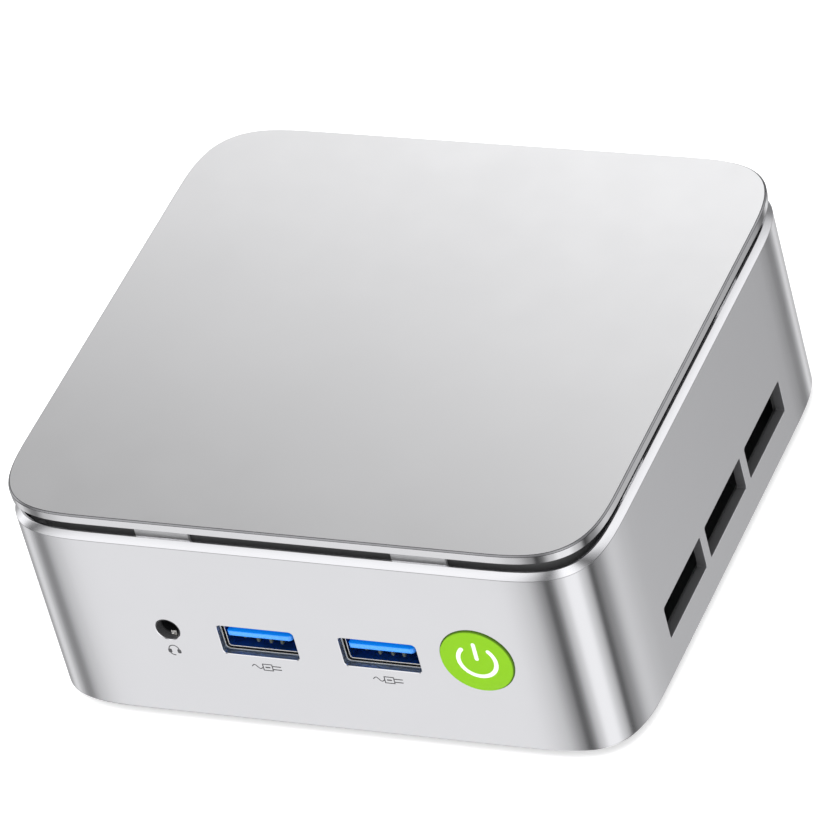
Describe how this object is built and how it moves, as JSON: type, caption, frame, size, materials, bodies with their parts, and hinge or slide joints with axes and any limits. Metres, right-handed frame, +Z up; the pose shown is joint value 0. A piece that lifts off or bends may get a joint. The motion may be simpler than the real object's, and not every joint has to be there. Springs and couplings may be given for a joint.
{
  "type": "mini pc",
  "caption": "Small square desktop computer: rounded silver metal sleeve, floating lid over a shadow gap, round green push button, side vents and front and rear sockets.",
  "frame": {"origin": "middle of the footprint, on the plane that the rubber feet stand on", "axes": "+Z up, +X to the right seen from the front, front panel faces -Y"},
  "size_m": [0.114, 0.1087, 0.0476],
  "materials": {
    "silver_sleeve": "satin anodised, faint vertical graining",
    "silver_lid": "fine satin anodised",
    "dark_chassis": "moulded, fine texture",
    "cover_plastic": "moulded, textured",
    "rubber": "matte",
    "screw_steel": "blackened zinc",
    "connector_steel": "nickel plated",
    "blue_plastic": "moulded",
    "black_plastic": "moulded",
    "green_button": "satin",
    "chip_package": "epoxy",
    "circuit_board": "solder mask",
    "heatsink_aluminium": "extruded",
    "contact_brass": "plated",
    "cell_steel": "bright"
  },
  "bodies": {
    "chassis": {"body_shell": "silver_sleeve", "top_plate": "silver_lid", "inner_frame": "dark_chassis", "side_grille_left": "dark_chassis", "side_grille_right": "dark_chassis", "fan_housing": "dark_chassis", "bottom_cover": "cover_plastic", "foot_front_left": "rubber", "foot_front_right": "rubber", "foot_back_left": "rubber", "foot_back_right": "rubber", "cover_screw_front_left": "screw_steel", "cover_screw_front_right": "screw_steel", "cover_screw_back_left": "screw_steel", "cover_screw_back_right": "screw_steel", "board_screw_front_left": "screw_steel", "board_screw_front_right": "screw_steel", "board_screw_back_left": "screw_steel", "board_screw_back_right": "screw_steel", "ssd_screw": "screw_steel", "usb_front_left_shell": "connector_steel", "usb_front_right_shell": "connector_steel", "usb_rear_lower_shell": "connector_steel", "usb_rear_upper_shell": "connector_steel", "hdmi_a_shell": "connector_steel", "hdmi_b_shell": "connector_steel", "lan_port": "connector_steel", "usb_front_left_tongue": "blue_plastic", "usb_front_right_tongue": "blue_plastic", "usb_rear_lower_tongue": "blue_plastic", "usb_rear_upper_tongue": "blue_plastic", "hdmi_a_tongue": "black_plastic", "hdmi_b_tongue": "black_plastic", "audio_jack": "black_plastic", "dc_jack": "black_plastic", "coin_cell_holder": "black_plastic", "memory_socket": "black_plastic", "ssd_socket": "black_plastic", "wifi_socket": "black_plastic", "cpu_package": "chip_package", "power_switch": "chip_package", "motherboard": "circuit_board", "memory_module": "circuit_board", "ssd_module": "circuit_board", "wifi_card": "circuit_board", "heatsink": "heatsink_aluminium", "dc_pin": "contact_brass", "ssd_standoff": "contact_brass", "wifi_antenna_left": "contact_brass", "wifi_antenna_right": "contact_brass", "coin_cell": "cell_steel"},
    "power_button": {"power_button": "green_button"},
    "fan_rotor": {"fan_rotor": "black_plastic"}
  },
  "joints": [
    {"name": "button_press", "type": "slide", "parent": "chassis", "child": "power_button", "axis": [0, 1, 0], "range_m": [0, 0.0006], "stiffness_N_per_m": 1500, "springref_m": -0.0006},
    {"name": "fan_spin", "type": "hinge", "parent": "chassis", "child": "fan_rotor", "pos_m": [0, -0.008, 0.034], "axis": [0, 0, 1], "continuous": true}
  ]
}
